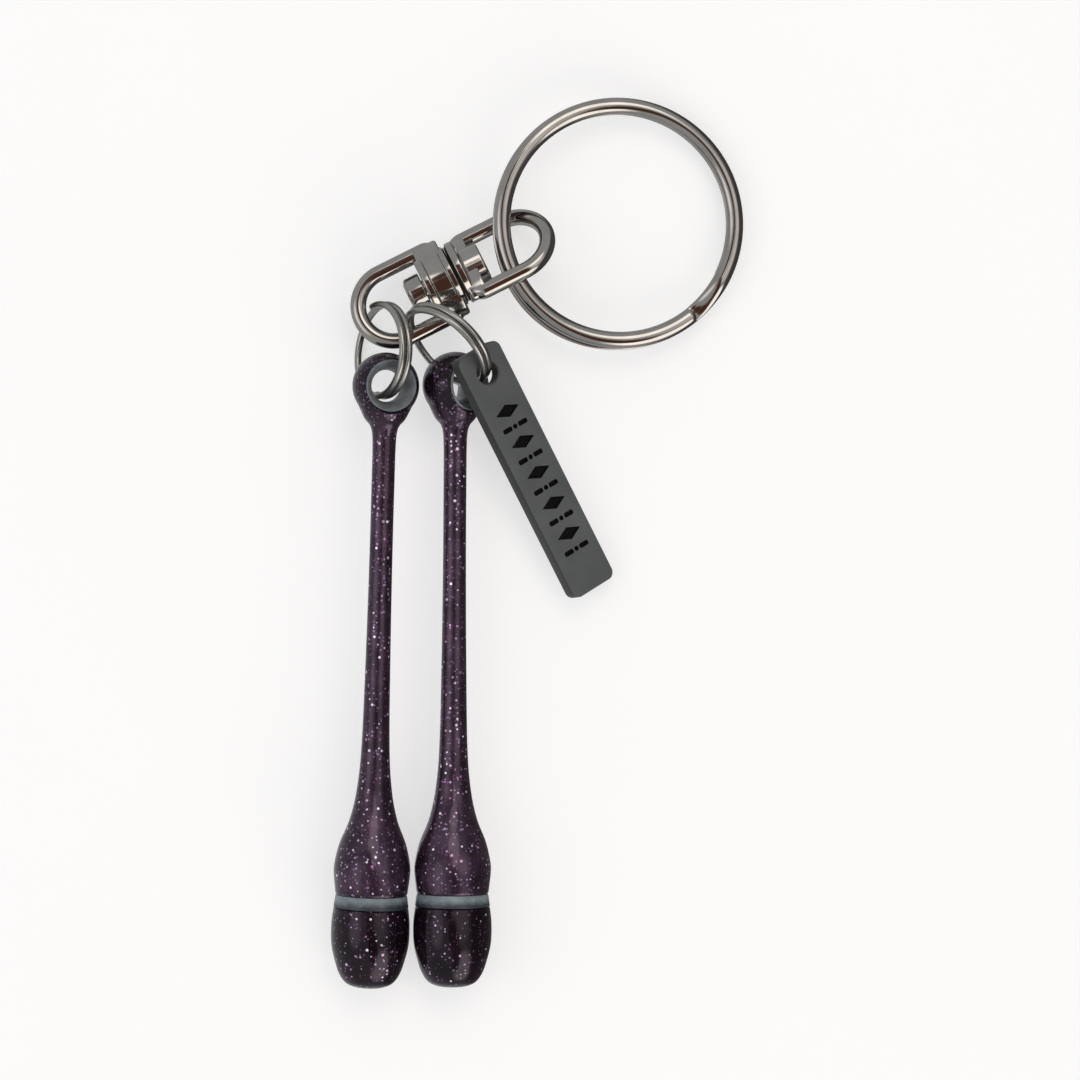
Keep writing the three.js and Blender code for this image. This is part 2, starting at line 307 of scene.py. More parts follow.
def domed(width, height, rise, count=40):
    """A rounded section whose widest line is low (rise near 1) or high (rise near 0)."""
    waist = height * (0.5 - rise)
    points = []
    for angle in np.linspace(0, 2 * math.pi, count, endpoint=False):
        reach = height / 2 - waist if math.sin(angle) > 0 else height / 2 + waist
        points.append((math.cos(angle) * width / 2, waist + math.sin(angle) * reach))
    return points


def superellipse(width, height, power, count=32):
    """A rounded section that gets squarer as the power grows."""
    points = []
    for angle in np.linspace(0, 2 * math.pi, count, endpoint=False):
        c, s = math.cos(angle), math.sin(angle)
        x = math.copysign(abs(c) ** (2 / power), c) * width / 2
        y = math.copysign(abs(s) ** (2 / power), s) * height / 2
        points.append((x, y))
    return points


def spline(points, per_span):
    """A smooth Catmull-Rom curve through the points."""
    points = np.asarray(points, float)
    last = len(points) - 1
    result = []
    for span in range(last):
        before, start, end, after = points[[max(span - 1, 0), span, span + 1, min(span + 2, last)]]
        for t in np.linspace(0, 1, per_span, endpoint=False):
            result.append(0.5 * (2 * start + (end - before) * t
                                 + (2 * before - 5 * start + 4 * end - after) * t ** 2
                                 + (3 * start - before - 3 * end + after) * t ** 3))
    result.append(points[-1])
    return [tuple(point) for point in result]


def rounded(corners, steps=6):
    """A polyline whose corners, given as (x, y, radius), are turned into arcs."""
    result = []
    for index, (x, y, radius) in enumerate(corners):
        if radius == 0 or index in (0, len(corners) - 1):
            result.append((x, y))
            continue
        here = Vector((x, y))
        back = Vector(corners[index - 1][:2]) - here
        ahead = Vector(corners[index + 1][:2]) - here
        half = back.angle(ahead) / 2
        reach = min(radius / math.tan(half), back.length * 0.49, ahead.length * 0.49)
        start = here + back.normalized() * reach
        end = here + ahead.normalized() * reach
        for step in range(steps + 1):
            t = step / steps
            result.append(tuple((1 - t) ** 2 * start + 2 * t * (1 - t) * here + t ** 2 * end))
    return result


def boolean(thing, tool, operation):
    """Joins or cuts with another object, which is then removed."""
    modifier = thing.modifiers.new("cut", "BOOLEAN")
    modifier.object = tool
    modifier.operation = operation
    modifier.solver = "EXACT"
    modifier.material_mode = "TRANSFER"
    apply_modifiers(thing)
    bpy.data.objects.remove(tool)


def weigh_normals(thing):
    """Lets the big faces set the shading next to a cut."""
    modifier = thing.modifiers.new("normals", "WEIGHTED_NORMAL")
    modifier.keep_sharp = True
    apply_modifiers(thing)


def merge_points(thing):
    """Closes hairline gaps that a cut can leave."""
    work = bmesh.new()
    work.from_mesh(thing.data)
    bmesh.ops.remove_doubles(work, verts=work.verts, dist=WELD * MM)
    work.to_mesh(thing.data)
    work.free()


def apply_modifiers(thing):
    """Puts the modifiers' result into the mesh."""
    bpy.context.view_layer.update()
    depsgraph = bpy.context.evaluated_depsgraph_get()
    result = bpy.data.meshes.new_from_object(thing.evaluated_get(depsgraph))
    thing.modifiers.clear()
    thing.data = result


# ---------- material helpers ----------

class Nodes:
    """A short way to build a node tree."""

    def __init__(self, name):
        self.material = bpy.data.materials.new(name)
        self.material.use_nodes = True
        self.tree = self.material.node_tree
        self.shader = self.tree.nodes["Principled BSDF"]
        coordinates = self.tree.nodes.new("ShaderNodeTexCoord")
        self.place = coordinates.outputs["Object"]
        self.generated = coordinates.outputs["Generated"]

    def add(self, kind, inputs=None, **settings):
        node = self.tree.nodes.new(kind)
        for key, value in settings.items():
            setattr(node, key, value)
        for key, value in (inputs or {}).items():
            self.connect(value, node.inputs[key])
        return node

    def connect(self, value, socket):
        if isinstance(value, bpy.types.NodeSocket):
            self.tree.links.new(value, socket)
        else:
            socket.default_value = value

    def noise(self, size_mm, detail=3.0, stretch=(1, 1, 1)):
        mapping = self.add("ShaderNodeMapping", {"Vector": self.place, "Scale": stretch})
        scale = 1 / (size_mm * MM)
        return self.add("ShaderNodeTexNoise",
                        {"Vector": mapping.outputs[0], "Scale": scale, "Detail": detail}).outputs["Fac"]

    def spread(self, value, low, high, to_low=0.0, to_high=1.0):
        return self.add("ShaderNodeMapRange", {
            "Value": value, "From Min": low, "From Max": high, "To Min": to_low, "To Max": to_high,
        }).outputs["Result"]

    def math(self, operation, first, second=0.0):
        return self.add("ShaderNodeMath", {0: first, 1: second}, operation=operation).outputs[0]

    def mix(self, share, first, second):
        node = self.add("ShaderNodeMix", data_type="RGBA")
        self.connect(share, node.inputs[0])
        self.connect(first, node.inputs[6])
        self.connect(second, node.inputs[7])
        return node.outputs[2]

    def bump(self, height, depth_mm, strength=1.0):
        inputs = {"Height": height, "Distance": depth_mm * MM, "Strength": strength}
        return self.add("ShaderNodeBump", inputs).outputs["Normal"]

    def set(self, **values):
        for key, value in values.items():
            self.connect(value, self.shader.inputs[key.replace("_", " ")])
        return self.material


def rgb(red, green, blue):
    """A colour from its 0 to 255 screen values."""
    def linear(value):
        value /= 255
        return value / 12.92 if value <= 0.04045 else ((value + 0.055) / 1.055) ** 2.4
    return (linear(red), linear(green), linear(blue), 1.0)


def nickel(name, tone, roughness):
    """Plated wire: a clear mirror with faint smudges, hairline scratches and a soft unevenness."""
    nodes = Nodes(name)
    smudge = nodes.noise(3.0, 4.0)
    scratch = nodes.noise(0.18, 2.0, (1, 9, 1))
    colour = nodes.mix(nodes.spread(smudge, 0.35, 0.7), tone, tuple(c * 0.86 for c in tone[:3]) + (1.0,))
    rough = nodes.math("ADD", nodes.spread(smudge, 0.3, 0.75, roughness, roughness * 1.9),
                       nodes.spread(scratch, 0.55, 0.8, 0.0, 0.06))
    height = nodes.math("ADD", nodes.math("MULTIPLY", scratch, 0.15), nodes.noise(1.4, 1.0))
    return nodes.set(Base_Color=colour, Metallic=1.0, Roughness=rough,
                     Normal=nodes.bump(height, 0.012, 0.5))


def flakes(nodes, cell_mm, radius, share):
    """(where a flake is, its own random value) for round flakes on a random share of the cells."""
    cells = nodes.add("ShaderNodeTexVoronoi",
                      {"Vector": nodes.place, "Scale": 1 / (cell_mm * MM), "Randomness": 1.0})
    chance = nodes.add("ShaderNodeSeparateColor", {"Color": cells.outputs["Color"]})
    lit = nodes.math("LESS_THAN", chance.outputs[0], share)
    size = nodes.spread(chance.outputs[1], 0.0, 1.0, radius * 0.5, radius)
    inside = nodes.spread(nodes.math("SUBTRACT", size, cells.outputs["Distance"]), 0.0, 0.04)
    return nodes.math("MULTIPLY", lit, inside), chance.outputs[2]


def glitter_plastic(name, depth, dark_end, share):
    """Near-black purple plastic under a clear gloss, full of fine glitter with some bright flakes; the brightest
    flakes also glow a little, a painted glint.

    `depth` is how much light the flakes inside give back; it falls off towards the top from dark_end.
    `share` is the part of the cells that hold a flake.
    """
    nodes = Nodes(name)
    cloud = nodes.spread(nodes.noise(2.6, 3.0), 0.35, 0.68)
    height = nodes.add("ShaderNodeSeparateXYZ", {"Vector": nodes.generated}).outputs["Y"]
    fade = nodes.spread(height, dark_end, dark_end + 0.05, 1.0, 0.25)
    base = nodes.mix(cloud, rgb(62, 47, 62), rgb(96, 74, 94))
    base = nodes.mix(nodes.math("MULTIPLY", fade, depth), rgb(14, 9, 14), base)
    dust, dust_tone = flakes(nodes, 0.32, 0.4, share)
    middle, middle_tone = flakes(nodes, 0.46, 0.36, share)
    bright, bright_tone = flakes(nodes, 0.62, 0.3, share)
    fine = nodes.mix(dust_tone, rgb(82, 48, 82), rgb(118, 92, 130))
    colour = nodes.mix(nodes.math("MULTIPLY", dust, 0.8), base, fine)
    coarse = nodes.mix(middle_tone, rgb(128, 78, 130), rgb(160, 148, 188))
    colour = nodes.mix(nodes.math("MULTIPLY", middle, 0.9), colour, coarse)
    glint = nodes.mix(bright_tone, rgb(196, 128, 192), rgb(232, 222, 240))
    bright = nodes.math("MULTIPLY", bright, nodes.spread(fade, 0.25, 1.0, 0.2, 1.0))
    colour = nodes.mix(bright, colour, glint)
    # painted glint: the brightest flakes glow, up to half strength, whatever the light
    power = nodes.spread(nodes.math("POWER", bright_tone, 3.0), 0.0, 1.0, 0.0, 0.5)
    nodes.set(Base_Color=colour, Metallic=0.72, Roughness=nodes.spread(dust, 0.0, 1.0, 0.3, 0.42),
              Specular_IOR_Level=0.0, Normal=nodes.bump(nodes.noise(1.1, 2.0), 0.01, 0.4))
    return nodes.set(Coat_Weight=1.0, Coat_Roughness=0.05, Coat_IOR=1.34,
                     Emission_Color=glint, Emission_Strength=nodes.math("MULTIPLY", bright, power))


def satin_plastic(name, light, dark, painted_shade=None):
    """Milky blue-grey plastic, slightly cloudy, with a fine moulded grain; its foot may be darker, a painted
    shade.
    """
    nodes = Nodes(name)
    cloud = nodes.spread(nodes.noise(1.3, 4.0), 0.3, 0.7)
    grain = nodes.noise(0.09, 2.0)
    colour = nodes.mix(cloud, light, dark)
    if painted_shade:
        # painted shade: the colour goes darker towards the lower edge of the piece
        height = nodes.add("ShaderNodeSeparateXYZ", {"Vector": nodes.generated}).outputs["Y"]
        ragged = nodes.math("ADD", height, nodes.spread(nodes.noise(0.7, 3.0), 0.3, 0.7, -0.07, 0.07))
        colour = nodes.mix(nodes.spread(ragged, 0.24, 0.66), painted_shade, colour)
    rough = nodes.spread(cloud, 0.0, 1.0, 0.32, 0.45)
    return nodes.set(Base_Color=colour, Roughness=rough, Normal=nodes.bump(grain, 0.006, 0.5),
                     Coat_Weight=0.25, Coat_Roughness=0.2)


def rubber(name, light, dark):
    """Soft matt rubber: fine pores, faint dust and a broad dull sheen."""
    nodes = Nodes(name)
    cloud = nodes.spread(nodes.noise(4.5, 5.0), 0.3, 0.72)
    pores = nodes.noise(0.11, 3.0)
    specks = nodes.spread(nodes.noise(0.28, 2.0), 0.66, 0.74)
    colour = nodes.mix(cloud, light, dark)
    colour = nodes.mix(nodes.math("MULTIPLY", specks, 0.18), colour, rgb(132, 134, 133))
    rough = nodes.spread(pores, 0.3, 0.7, 0.52, 0.68)
    return nodes.set(Base_Color=colour, Roughness=rough, Normal=nodes.bump(pores, 0.02, 0.55),
                     Sheen_Weight=0.15, Sheen_Roughness=0.5)


BRIGHT_NICKEL = nickel("bright_nickel", (0.47, 0.45, 0.425, 1.0), 0.07)
DULL_NICKEL = nickel("dull_nickel", (0.45, 0.445, 0.42, 1.0), 0.19)
# near-black nickel: painted shade in the gap between the two hubs of the swivel
GAP_SHADE_NICKEL = nickel("gap_shade_nickel", (0.035, 0.03, 0.027, 1.0), 0.45)
GLITTER = glitter_plastic("glitter_plastic", 0.85, 0.86, 0.62)
FOOT_GLITTER = glitter_plastic("glitter_plastic_foot", 0.2, 1.0, 0.34)
# the last colour is the painted shade on the lower part of the band
BAND_PLASTIC = satin_plastic("band_plastic", rgb(146, 160, 166), rgb(118, 130, 137), rgb(52, 59, 68))
EYELET_PLASTIC = satin_plastic("eyelet_plastic", rgb(132, 138, 143), rgb(104, 110, 114))
RUBBER = rubber("grey_rubber", rgb(94, 98, 99), rgb(81, 85, 86))
# darker copy of the rubber: painted shade on the tag's upright sides and the wall of its hole
RUBBER_PAINTED_SHADE = rubber("grey_rubber_painted_shade", rgb(48, 51, 52), rgb(37, 40, 41))
RECESS = rubber("grey_rubber_recess", rgb(17, 18, 19), rgb(10, 11, 12))
RECESS.node_tree.nodes["Principled BSDF"].inputs["Specular IOR Level"].default_value = 0.1
RECESS.node_tree.nodes["Principled BSDF"].inputs["Sheen Weight"].default_value = 0.0


def finished(piece, body, slot, *nodes):
    """Hands a finished piece to the body it moves with, in place of CAD nodes."""
    piece.data.transform(piece.matrix_world)
    piece.matrix_world = Matrix.Identity(4)
    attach(piece, body)
    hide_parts(*nodes)


# ---------- rings ----------

def wound_ring(name, radius, pitch, crossing, step_middle, section_at, place, material, tip, steps,
               bulge=0.0, bulge_at=0.0, bulge_spread=1.0):
    """Wire wound twice round; it steps from the first coil to the second over `crossing` degrees.

    The first coil may stand out by `bulge` round the direction bulge_at, as on a worn ring.
    """
    crossing = math.radians(crossing)
    start = math.radians(step_middle) + crossing / 2
    centres, outs, ups, sections = [], [], [], []
    for turn in np.linspace(0, 4 * math.pi - crossing, steps):
        climb = min(max((turn - 2 * math.pi + crossing) / crossing, 0.0), 1.0)
        climb = climb * climb * (3 - 2 * climb)
        out = np.array((math.cos(start + turn), math.sin(start + turn), 0.0))
        off = (start + turn - math.radians(bulge_at) + math.pi) % (2 * math.pi) - math.pi
        reach = radius + bulge * (1 - climb) * math.exp(-(off / math.radians(bulge_spread)) ** 2)
        centres.append(out * reach + np.array((0, 0, (climb - 0.5) * pitch)))
        outs.append(out)
        ups.append(np.array((0, 0, 1.0)))
        sections.append(section_at(climb))
    return sweep(name, centres, outs, ups, sections, place, material, tip)


def make_key_ring():
    place = key_ring_place()
    towards = place.inverted().to_3x3() @ Vector((math.cos(math.radians(KEY_RING_STEP)),
                                                  math.sin(math.radians(KEY_RING_STEP)), 0))
    step = math.degrees(math.atan2(towards.y, towards.x))
    low, high = KEY_RING_RISE
    ring = wound_ring("split_ring", KEY_RING_RADIUS, KEY_RING_PITCH, KEY_RING_CROSSING, step,
                      lambda climb: domed(KEY_RING_WIDTH, KEY_RING_HEIGHT, low + (high - low) * climb),
                      place, BRIGHT_NICKEL, KEY_RING_TIP, KEY_RING_SECTIONS,
                      KEY_RING_BULGE, step + KEY_RING_BULGE_AT, KEY_RING_BULGE_SPREAD)
    finished(ring, "key_ring", "bright_nickel", "key_ring")


def make_link(side):
    place, radius = link_place(f"link_ring_{side}")
    section = superellipse(LINK_WIRE, LINK_WIRE, LINK_SQUARENESS, 32)
    ring = wound_ring(f"small_ring_{side}", radius, LINK_PITCH, LINK_CROSSING, 0,
                      lambda climb: section, place, DULL_NICKEL, LINK_TIP, LINK_SECTIONS)
    finished(ring, f"{side}_link", "dull_nickel", f"link_ring_{side}")


# ---------- swivel ----------

def arc_points(centre, radius, start, end, steps):
    """Points on an arc, given in degrees."""
    angles = [math.radians(angle) for angle in np.linspace(start, end, steps)]
    x, y = centre
    return [(x + radius * math.cos(angle), y + radius * math.sin(angle)) for angle in angles]


def eye_path(end):
    """Centres, sideways and upward directions: out of the hub, along an arm, round and back."""
    start = HUB_GAP + EYE_WIRE / 2 + ROOT_CLEARANCE
    side = EYE_HALF_WIDTH - SHOULDER
    half = [(start, -y) for y in np.linspace(ROOT_AT, side, 8, endpoint=False)]
    half += arc_points((start + SHOULDER, -side), SHOULDER, 180, 270, 14)
    half += [(x, -EYE_HALF_WIDTH) for x in np.linspace(start + SHOULDER, end - EYE_HALF_WIDTH, 16)[1:-1]]
    bow = arc_points((end - EYE_HALF_WIDTH, 0), EYE_HALF_WIDTH, -90, 90, 80)
    plan = np.array(half + bow + [(x, -y) for x, y in reversed(half)])
    along = np.gradient(plan, axis=0)
    along /= np.linalg.norm(along, axis=1)[:, None]
    flat = np.zeros((len(plan), 1))
    centres = np.hstack([plan, flat])
    sides_of = np.hstack([along[:, 1:], -along[:, :1], flat])
    return centres, sides_of, [np.array((0, 0, 1.0))] * len(plan)


def elliptic_web(name, place, half_width, half_height, start, end):
    """A lens-shaped filling between the arms and their hub, from start to end along the axis."""
    outline = superellipse(2 * half_width, 2 * half_height, 2.0, 96)
    edge = WEB_EDGE / half_width
    stations = [(start, 1 - edge)]
    stations += [(start + WEB_EDGE * (1 - math.cos(t)), 1 - edge * (1 - math.sin(t)))
                 for t in np.linspace(0.2, math.pi / 2, 6)]
    stations += [(start + end - x, scale) for x, scale in reversed(stations)]
    centres = [(x, 0, 0) for x, _ in stations]
    vertices = [(x, across * scale, height * scale) for x, scale in stations for across, height in outline]
    faces = grid_faces(len(centres), len(outline))
    faces.append(tuple(reversed(range(len(outline)))))
    faces.append(tuple(range(len(vertices) - len(outline), len(vertices))))
    web = new_object(name, vertices, faces, place, BRIGHT_NICKEL)
    outward(web)
    return web


def paint_gap_shade(eye):
    """Gives the faces in the gap between the hubs a near-black nickel: painted shade for the shadowed gap."""
    eye.data.materials.append(GAP_SHADE_NICKEL)
    dark = len(eye.data.materials) - 1
    just_past_rims = HUB_GAP * MM * 1.02
    for face in eye.data.polygons:
        if face.center.x < just_past_rims:
            face.material_index = dark


def make_eye(name, node, body, end, profile, sign, web):
    """A cast eye: a turned hub, a round bar that leaves it on both sides, and a web between them."""
    place = eye_place(node, sign)
    eye = lathe(name, rounded(profile), place, BRIGHT_NICKEL, sides=160)
    centres, sides_of, ups = eye_path(end)
    section = superellipse(EYE_WIRE, EYE_WIRE, EYE_SQUARENESS, 40)
    wire = sweep(name + "_wire", centres, sides_of, ups, [section] * len(ups), place, BRIGHT_NICKEL)
    bore_radius = RIVET_SHANK + BORE_CLEARANCE
    first, last = BORE_REACH
    outline = [(0, first), (bore_radius, first), (bore_radius, last), (0, last)]
    bore = lathe(name + "_bore", outline, place, BRIGHT_NICKEL, sides=96)
    boolean(eye, elliptic_web(name + "_web", place, **web), "UNION")
    boolean(eye, wire, "UNION")
    boolean(eye, bore, "DIFFERENCE")
    merge_points(eye)
    # painted shade on the faces in the gap between the hubs
    paint_gap_shade(eye)
    smooth(eye, 30)
    weigh_normals(eye)
    finished(eye, body, "bright_nickel", node)


def make_swivel():
    near = HUB_GAP
    boss = [(0, BOSS_GAP, 0), (BOSS_RADIUS, BOSS_GAP, 0), (BOSS_RADIUS, near, 0)]
    lower = boss + [
        (LOWER_RIM, near, 0.18), (LOWER_RIM, 0.85, 0.15), (LOWER_WAIST, 1.0, 0.12),
        (LOWER_WAIST, 3.0, 0.12), (LOWER_RIM, 3.15, 0.15), (LOWER_RIM, LOWER_HUB_END, 0.3),
        (0, LOWER_HUB_END, 0),
    ]
    upper = boss + [
        (UPPER_FLANGE, near, 0.2), (UPPER_FLANGE, 1.05, 0.25), (3.3, 1.3, 0.15),
        (2.45, 1.36, 0.1), (UPPER_HUB_RADIUS, UPPER_HUB_END, 0.35), (0, UPPER_HUB_END, 0),
    ]
    make_eye("swivel_eye_lower", "swivel_lower_eye", "lower_eye", LOWER_BOW, lower, -1, LOWER_WEB)
    make_eye("swivel_eye_upper", "swivel_upper_eye", "upper_eye", UPPER_BOW, upper, 1, UPPER_WEB)
    make_rivet()


def make_rivet():
    outline = [
        (0, -RIVET_HEAD_END, 0), (1.55, -6.32, 0.4), (2.22, -6.0, 0.35),
        (RIVET_HEAD, -RIVET_HEAD_START, 0.2), (RIVET_SHANK, -RIVET_HEAD_START, 0),
        (RIVET_SHANK, RIVET_END, 0.1), (0, RIVET_END, 0),
    ]
    place = eye_place("swivel_upper_eye", 1)
    rivet = lathe("rivet", rounded(outline), place, BRIGHT_NICKEL, sides=96)
    finished(rivet, "upper_eye", "bright_nickel", "swivel_rivet")


# ---------- clubs ----------

def hole_radius(height):
    return HOLE_WAIST + (HOLE_MOUTH - HOLE_WAIST) * (height / HOLE_DEPTH) ** 2


def hole_meets_ball(extra, ball):
    """Height at which the flared hole, wider by extra, comes out of the ball."""
    low, high = 0.0, ball
    for _ in range(50):
        middle = (low + high) / 2
        if (hole_radius(middle) + extra) ** 2 + middle ** 2 < ball ** 2:
            low = middle
        else:
            high = middle
    return low


def upright(place):
    """The same place with its X axis along the old Z, for turned pieces that stand in the hole."""
    return place @ Matrix(((0, 0, -1, 0), (0, 1, 0, 0), (1, 0, 0, 0), (0, 0, 0, 1)))


def body_profile():
    """(radius, along) from the top of the head to the end of the spigot."""
    spigot_end = BODY_END + SPIGOT_LENGTH
    head = []
    for angle in np.linspace(0, math.radians(HEAD_ENDS_AT), 40):
        head.append((HEAD_RADIUS * math.sin(angle), -HEAD_RADIUS * math.cos(angle)))
    shoulder = [head[-1], (2.45, 3.95), (1.75, 4.8), (NECK_RADIUS + 0.08, 5.9), (NECK_RADIUS, 8)]
    flare = [(NECK_RADIUS, 8), (NECK_RADIUS, 20), (1.48, 32), (1.68, 43), (2.1, 48.3), (2.85, 51.9),
             (3.95, 54.7), (4.5, 57), (4.58, 58.4), (4.32, BODY_END - 0.15)]
    end = [(4.2, BODY_END), (SPIGOT_RADIUS, BODY_END), (SPIGOT_RADIUS, spigot_end), (0, spigot_end)]
    return head[:-1] + spline(shoulder, 6)[:-1] + spline(flare, 9) + end


def make_club_body(side, place):
    body = lathe(f"{side}_club_shell", body_profile(), place, GLITTER)
    room = EYELET_WALL + EYELET_GAP
    heights = np.linspace(-HOLE_REACH, HOLE_REACH, 41)
    wall = [(hole_radius(height) + room, height) for height in heights]
    tool = lathe("hole", [(0, -HOLE_REACH), *wall, (0, HOLE_REACH)], upright(place), GLITTER)
    boolean(body, tool, "DIFFERENCE")
    smooth(body, 32)
    finished(body, f"{side}_club", "glitter_plastic", f"{side}_club_body")


def make_eyelet(side, place):
    """The lining of the hole: an hourglass tube whose rounded lips follow the ball."""
    ball = HEAD_RADIUS - EYELET_INSET
    inner_top = hole_meets_ball(0, ball)
    outer_top = hole_meets_ball(EYELET_WALL, ball)
    inner_angle = math.atan2(hole_radius(inner_top), inner_top)
    outer_angle = math.atan2(hole_radius(outer_top) + EYELET_WALL, outer_top)
    angles = np.linspace(inner_angle, outer_angle, 8)[1:-1]
    lip = [(ball * math.sin(angle), ball * math.cos(angle)) for angle in angles]
    other_lip = [(radius, -height) for radius, height in reversed(lip)]
    inner_end = inner_top - 0.1
    outer_end = outer_top - 0.08
    inner = [(hole_radius(height), height) for height in np.linspace(-inner_end, inner_end, 48)]
    outer = [(hole_radius(height) + EYELET_WALL, height)
             for height in np.linspace(outer_end, -outer_end, 32)]
    profile = inner + lip + outer + other_lip
    eyelet = lathe(f"{side}_club_lining", profile, upright(place), EYELET_PLASTIC, smooth_angle=60)
    finished(eyelet, f"{side}_club", "grey_plastic", f"{side}_club_eyelet")


def make_band(side, place):
    inside = SPIGOT_RADIUS + BAND_GAP
    top = BODY_END + BAND_GAP
    bottom = top + BAND_HEIGHT
    profile = [(inside, top, 0), (4.26, top, 0.1), (4.34, top + 0.35, 0.3), (4.5, bottom, 0.12),
               (inside, bottom, 0), (inside, top, 0)]
    band = lathe(f"{side}_club_ring", rounded(profile), place, BAND_PLASTIC)
    finished(band, f"{side}_club", "grey_plastic", f"{side}_club_band")


def make_foot(side, place):
    top = BODY_END + BAND_HEIGHT + 2 * BAND_GAP
    inside = SPIGOT_RADIUS + BAND_GAP
    barrel = spline([(4.5, top + 0.08), (4.7, top + 2.0), (4.62, 67), (4.06, 69.3), (3.55, 70.6),
                     (2.8, 71.55), (1.7, 72.02), (0.7, FOOT_END), (0, FOOT_END)], 8)
    profile = [(0, SOCKET_END), (inside, SOCKET_END), (inside, top), (FOOT_TOP_RADIUS, top)] + barrel
    foot = lathe(f"{side}_club_cap", profile, place, FOOT_GLITTER)
    finished(foot, f"{side}_club", "glitter_plastic", f"{side}_club_foot")


def make_club(side):
    place = hung_place(f"{side}_club_swing", f"{side}_club_foot")
    make_club_body(side, place)
    make_eyelet(side, place)
    make_band(side, place)
    make_foot(side, place)


# ---------- tag ----------

def outline_prism(name, outline, low, high, place, material, bevel=0.0):
    """An upright prism over an outline, with its rims rounded."""
    work = bmesh.new()
    loop = [work.verts.new((x * MM, y * MM, low * MM)) for x, y in outline]
    face = work.faces.new(loop)
    grown = bmesh.ops.extrude_face_region(work, geom=[face])
    top = [element for element in grown["geom"] if isinstance(element, bmesh.types.BMVert)]
    bmesh.ops.translate(work, verts=top, vec=(0, 0, (high - low) * MM))
    bmesh.ops.recalc_face_normals(work, faces=work.faces)
    if bevel:
        rims = [edge for edge in work.edges if abs(edge.verts[0].co.z - edge.verts[1].co.z) < 1e-7]
        bmesh.ops.bevel(work, geom=rims, offset=bevel * MM, segments=4, profile=0.5, affect="EDGES")
    mesh = bpy.data.meshes.new(name)
    work.to_mesh(mesh)
    work.free()
    thing = bpy.data.objects.new(name, mesh)
    bpy.context.scene.collection.objects.link(thing)
    thing.matrix_world = place
    mesh.materials.append(material)
    return thing


def rounded_bar(left, right, half, corner, steps=10, middle=0.0):
    """Outline of a bar with round corners; its middle line is at y = middle."""
    points = []
    for x, y, start in ((right - corner, half - corner, 0), (left + corner, half - corner, 90),
                        (left + corner, corner - half, 180), (right - corner, corner - half, 270)):
        for angle in np.linspace(start, start + 90, steps):
            points.append((x + corner * math.cos(math.radians(angle)),
                           middle + y + corner * math.sin(math.radians(angle))))
    return points


def ornament_outlines():
    """A plain pattern: lozenges, with two short bars and a dot between one and the next."""
    outlines = []
    for index in range(ORNAMENT_COUNT):
        x = ORNAMENT_START + index * ORNAMENT_PITCH
        if index % 2 == 0:
            across, up = LOZENGE
            outlines.append([(x - across, 0), (x, -up), (x + across, 0), (x, up)])
        else:
            across, up = BAR
            for middle in (-BAR_OFFSET, BAR_OFFSET):
                outlines.append(rounded_bar(x - across, x + across, up, BAR_CORNER, 4, middle))
            outlines.append(arc_points((x, 0), DOT_RADIUS, 0, 340, 18))
    return outlines


def make_tag():
    place = hung_place("tag_swing", "tag")
    half = TAG_THICKNESS / 2
    above = half + CUT_ROOM
    straight = half - TAG_HOLE_EDGE
    bar = rounded_bar(-TAG_HOLE_FROM_END, TAG_LENGTH - TAG_HOLE_FROM_END, TAG_WIDTH / 2, TAG_CORNER)
    tag = outline_prism("rubber_tag", bar, -half, half, place, RUBBER, TAG_EDGE)
    rim = [(0, -above, 0), (TAG_HOLE + TAG_HOLE_FLARE, -above, 0), (TAG_HOLE, -straight, 0.1),
           (TAG_HOLE, straight, 0.1), (TAG_HOLE + TAG_HOLE_FLARE, above, 0), (0, above, 0)]
    hole = lathe("tag_hole", rounded(rim), upright(place), RUBBER, sides=96)
    boolean(tag, hole, "DIFFERENCE")
    for index, outline in enumerate(ornament_outlines()):
        cutter = outline_prism(f"mark_{index}", outline, half - ORNAMENT_DEPTH, above, place, RECESS)
        boolean(tag, cutter, "DIFFERENCE")
    # painted shade: the upright faces of the rubber, the sides and the wall of the hole, get the darker copy
    tag.data.materials.append(RUBBER_PAINTED_SHADE)
    side = len(tag.data.materials) - 1
    for face in tag.data.polygons:
        if abs(face.normal.z) < 0.3 and face.material_index == 0:
            face.material_index = side
    smooth(tag, 28)
    finished(tag, "tag", "grey_rubber", "tag")


# ---------- studio ----------

def make_floor():
    """A wide pale sheet at table height."""
    size = FLOOR_SIZE * MM
    corners = [(-size, -size, 0), (size, -size, 0), (size, size, 0), (-size, size, 0)]
    mesh = bpy.data.meshes.new("floor")
    mesh.from_pydata(corners, [], [(0, 1, 2, 3)])
    floor = bpy.data.objects.new("floor", mesh)
    bpy.context.scene.collection.objects.link(floor)
    nodes = Nodes("floor_paper")
    shade = nodes.mix(nodes.spread(nodes.noise(40.0, 2.0), 0.3, 0.7), (0.56, 0.565, 0.57, 1.0),
                      (0.55, 0.555, 0.56, 1.0))
    mesh.materials.append(nodes.set(Base_Color=shade, Roughness=0.9, Emission_Color=(1, 1, 1, 1),
                                    Emission_Strength=0.58))
    floor.location.z = -FLOOR_DROP * MM
    floor.visible_glossy = False


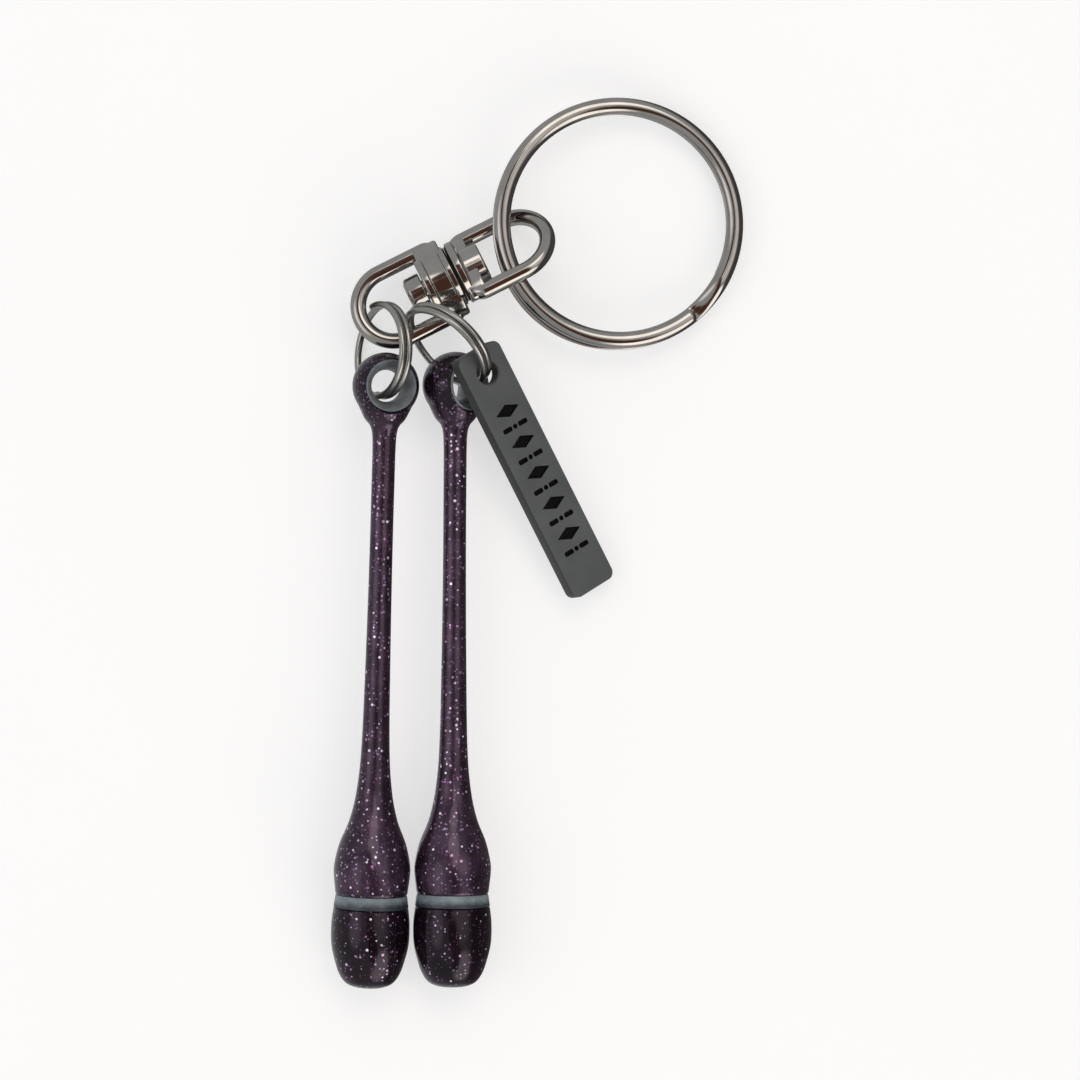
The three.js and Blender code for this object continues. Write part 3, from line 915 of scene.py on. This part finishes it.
def cone_mask(nodes, links, direction, towards, half_angle, soft):
    """1 inside a cone of the sky round `towards`, falling to 0 over `soft` degrees each way."""
    dot = nodes.new("ShaderNodeVectorMath")
    dot.operation = "DOT_PRODUCT"
    dot.inputs[1].default_value = Vector(towards).normalized()
    links.new(direction, dot.inputs[0])
    ramp = nodes.new("ShaderNodeMapRange")
    ramp.interpolation_type = "SMOOTHSTEP"
    ramp.inputs["From Min"].default_value = math.cos(math.radians(half_angle + soft))
    ramp.inputs["From Max"].default_value = math.cos(math.radians(half_angle - soft))
    links.new(dot.outputs["Value"], ramp.inputs["Value"])
    return ramp.outputs["Result"]


def sky_point(zenith_angle, azimuth):
    """Unit direction that many degrees from straight up, towards the azimuth from +X."""
    tilt, turn = math.radians(zenith_angle), math.radians(azimuth)
    return (math.sin(tilt) * math.cos(turn), math.sin(tilt) * math.sin(turn), math.cos(tilt))


def make_light():
    """A grey tent with pale panels in it, and brown and dark shapes that the metal mirrors."""
    world = bpy.data.worlds.new("studio")
    bpy.context.scene.world = world
    world.use_nodes = True
    nodes, links = world.node_tree.nodes, world.node_tree.links
    direction = nodes.new("ShaderNodeTexCoord").outputs["Generated"]
    cream = (2.1, 2.0, 1.88)
    brown = (0.1, 0.045, 0.03)
    # middle, half angle, half of the soft edge and colour; each area covers those before it
    areas = [
        (sky_point(118, 5), 62, 12, (0.09, 0.08, 0.08)),
        (sky_point(44, 183), 15, 8, (1.35, 1.3, 1.33)),
        (sky_point(33, 8), 15, 8, (0.98, 0.92, 0.89)),
        (sky_point(30, 80), 17, 4, cream),
        (sky_point(62, -58), 22, 6, cream),
        (sky_point(3, -60), 11, 3, brown),
        (sky_point(20, -63), 12, 3, brown),
        (sky_point(33, -65), 12, 3, brown),
        (sky_point(17, 117), 9, 3, brown),
    ]
    colour = nodes.new("ShaderNodeRGB")
    colour.outputs[0].default_value = (0.46, 0.465, 0.47, 1.0)
    last = colour.outputs[0]
    for towards, half_angle, soft, shade in areas:
        blend = nodes.new("ShaderNodeMix")
        blend.data_type = "RGBA"
        links.new(cone_mask(nodes, links, direction, towards, half_angle, soft), blend.inputs[0])
        links.new(last, blend.inputs[6])
        blend.inputs[7].default_value = (*shade, 1.0)
        last = blend.outputs[2]
    links.new(last, nodes["Background"].inputs["Color"])
    nodes["Background"].inputs["Strength"].default_value = 1.0


def make_camera():
    camera = bpy.data.cameras.new("camera")
    camera.sensor_width = SENSOR
    camera.lens = SENSOR * (CAMERA_HEIGHT - OBJECT_HEIGHT) / VIEW_WIDTH
    camera.clip_start = 0.01
    camera.clip_end = 20
    rig = bpy.data.objects.new("camera", camera)
    rig.location = (CAMERA_OFFSET[0] * MM, CAMERA_OFFSET[1] * MM, CAMERA_HEIGHT * MM)
    bpy.context.scene.collection.objects.link(rig)
    bpy.context.scene.camera = rig
    bpy.context.scene.view_settings.view_transform = "Standard"


make_camera()
make_light()
make_floor()
make_key_ring()
make_swivel()
for side in SIDES:
    make_link(side)
for side in SIDES:
    make_club(side)
make_tag()
